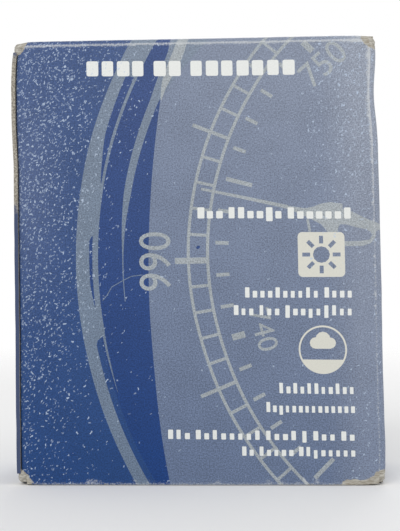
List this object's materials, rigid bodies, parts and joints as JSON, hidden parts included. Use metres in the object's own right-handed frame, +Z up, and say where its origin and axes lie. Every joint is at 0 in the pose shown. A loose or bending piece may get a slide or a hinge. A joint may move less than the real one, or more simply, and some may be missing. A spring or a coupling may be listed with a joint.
{
  "type": "boxed weather meter",
  "caption": "Worn printed folding carton with a dial motif, opening at both ends, holding a round aneroid barometer in a board cradle.",
  "frame": {"origin": "middle of the carton's base, on the surface it stands on", "axes": "+Z up along the carton's height, +X along its width, +Y along its depth from the dial artwork's panel to the front panel"},
  "size_m": [0.096, 0.04, 0.117],
  "materials": {
    "printed_board": "printed, worn",
    "plain_board": "matt",
    "leaflet_paper": "matt",
    "case_enamel": "semi-gloss",
    "bezel_brass": "polished",
    "gasket_rubber": "matt",
    "glass": "clear",
    "reflector": "satin",
    "dial_paint": "matt print",
    "hand_black": "satin",
    "movement_brass": "satin",
    "capsule_metal": "satin",
    "spring_steel": "brushed"
  },
  "bodies": {
    "carton": {"back_panel": "printed_board", "right_side_panel": "printed_board", "front_panel": "printed_board", "left_side_panel": "printed_board", "glue_flap": "printed_board", "cradle_deck": "plain_board", "cradle_back_wall": "plain_board", "cradle_left_wall": "plain_board", "cradle_right_wall": "plain_board", "leaflet": "leaflet_paper", "case_cup": "case_enamel", "bezel": "bezel_brass", "glass_gasket": "gasket_rubber", "cover_glass": "glass", "reflector_ring": "reflector", "dial_plate": "dial_paint", "base_plate": "movement_brass", "base_screws": "spring_steel", "aneroid_capsule": "capsule_metal", "capsule_foot": "movement_brass", "capsule_stud": "spring_steel", "main_spring": "spring_steel", "bridge_pillars": "movement_brass", "bridge_plate": "movement_brass", "pivot_cock": "movement_brass", "hairspring": "spring_steel", "rocker_lugs": "movement_brass", "dial_posts": "movement_brass"},
    "top_lid": {"top_lid": "printed_board"},
    "top_tuck": {"top_tuck_flap": "printed_board"},
    "top_dust_left": {"top_dust_flap_left": "printed_board"},
    "top_dust_right": {"top_dust_flap_right": "printed_board"},
    "bottom_lid": {"bottom_lid": "printed_board"},
    "bottom_tuck": {"bottom_tuck_flap": "printed_board"},
    "bottom_dust_left": {"bottom_dust_flap_left": "printed_board"},
    "bottom_dust_right": {"bottom_dust_flap_right": "printed_board"},
    "hand": {"pressure_hand": "hand_black", "hand_arbor": "spring_steel"},
    "marker": {"marker_hand": "movement_brass", "marker_post": "movement_brass", "marker_knob": "bezel_brass"},
    "rocker": {"rocker": "spring_steel"},
    "adjuster": {"adjusting_screw": "spring_steel"}
  },
  "joints": [
    {"name": "top_lid_fold", "type": "hinge", "parent": "carton", "child": "top_lid", "pos_m": [0, -0.01966, 0.11666], "axis": [1, 0, 0], "range_deg": [0, 180]},
    {"name": "top_tuck_fold", "type": "hinge", "parent": "top_lid", "child": "top_tuck", "pos_m": [0, 0.0171, 0.1159], "axis": [1, 0, 0], "range_deg": [-90, 0]},
    {"name": "top_dust_left_fold", "type": "hinge", "parent": "carton", "child": "top_dust_left", "pos_m": [-0.04766, 0, 0.11551], "axis": [0, -1, 0], "range_deg": [0, 90]},
    {"name": "top_dust_right_fold", "type": "hinge", "parent": "carton", "child": "top_dust_right", "pos_m": [0.04766, 0, 0.11551], "axis": [0, 1, 0], "range_deg": [0, 90]},
    {"name": "bottom_lid_fold", "type": "hinge", "parent": "carton", "child": "bottom_lid", "pos_m": [0, 0.01966, 0.00034], "axis": [1, 0, 0], "range_deg": [0, 180]},
    {"name": "bottom_tuck_fold", "type": "hinge", "parent": "bottom_lid", "child": "bottom_tuck", "pos_m": [0, -0.0171, 0.0011], "axis": [1, 0, 0], "range_deg": [-90, 0]},
    {"name": "bottom_dust_left_fold", "type": "hinge", "parent": "carton", "child": "bottom_dust_left", "pos_m": [-0.04766, 0, 0.00149], "axis": [0, 1, 0], "range_deg": [0, 90]},
    {"name": "bottom_dust_right_fold", "type": "hinge", "parent": "carton", "child": "bottom_dust_right", "pos_m": [0.04766, 0, 0.00149], "axis": [0, -1, 0], "range_deg": [0, 90]},
    {"name": "pressure_hand_turn", "type": "hinge", "parent": "carton", "child": "hand", "pos_m": [0, 0, 0.054], "axis": [0, -1, 0], "range_deg": [-130, 130]},
    {"name": "rocker_swing", "type": "hinge", "parent": "carton", "child": "rocker", "pos_m": [-0.012, -0.0006, 0.054], "axis": [0, 0, 1], "range_deg": [-15, 15]},
    {"name": "marker_turn", "type": "hinge", "parent": "carton", "child": "marker", "pos_m": [0, 0, 0.054], "axis": [0, -1, 0], "continuous": true},
    {"name": "adjuster_turn", "type": "hinge", "parent": "carton", "child": "adjuster", "pos_m": [0, -0.013, 0.034], "axis": [0, 1, 0], "range_deg": [-180, 180]}
  ],
  "couplings": [
    {"joint": "top_tuck_fold", "follows": "top_lid_fold", "ratio": -0.5},
    {"joint": "top_dust_left_fold", "follows": "top_lid_fold", "ratio": 0.5},
    {"joint": "top_dust_right_fold", "follows": "top_lid_fold", "ratio": 0.5},
    {"joint": "bottom_tuck_fold", "follows": "bottom_lid_fold", "ratio": -0.5},
    {"joint": "bottom_dust_left_fold", "follows": "bottom_lid_fold", "ratio": 0.5},
    {"joint": "bottom_dust_right_fold", "follows": "bottom_lid_fold", "ratio": 0.5},
    {"joint": "rocker_swing", "follows": "pressure_hand_turn", "ratio": 0.11}
  ]
}
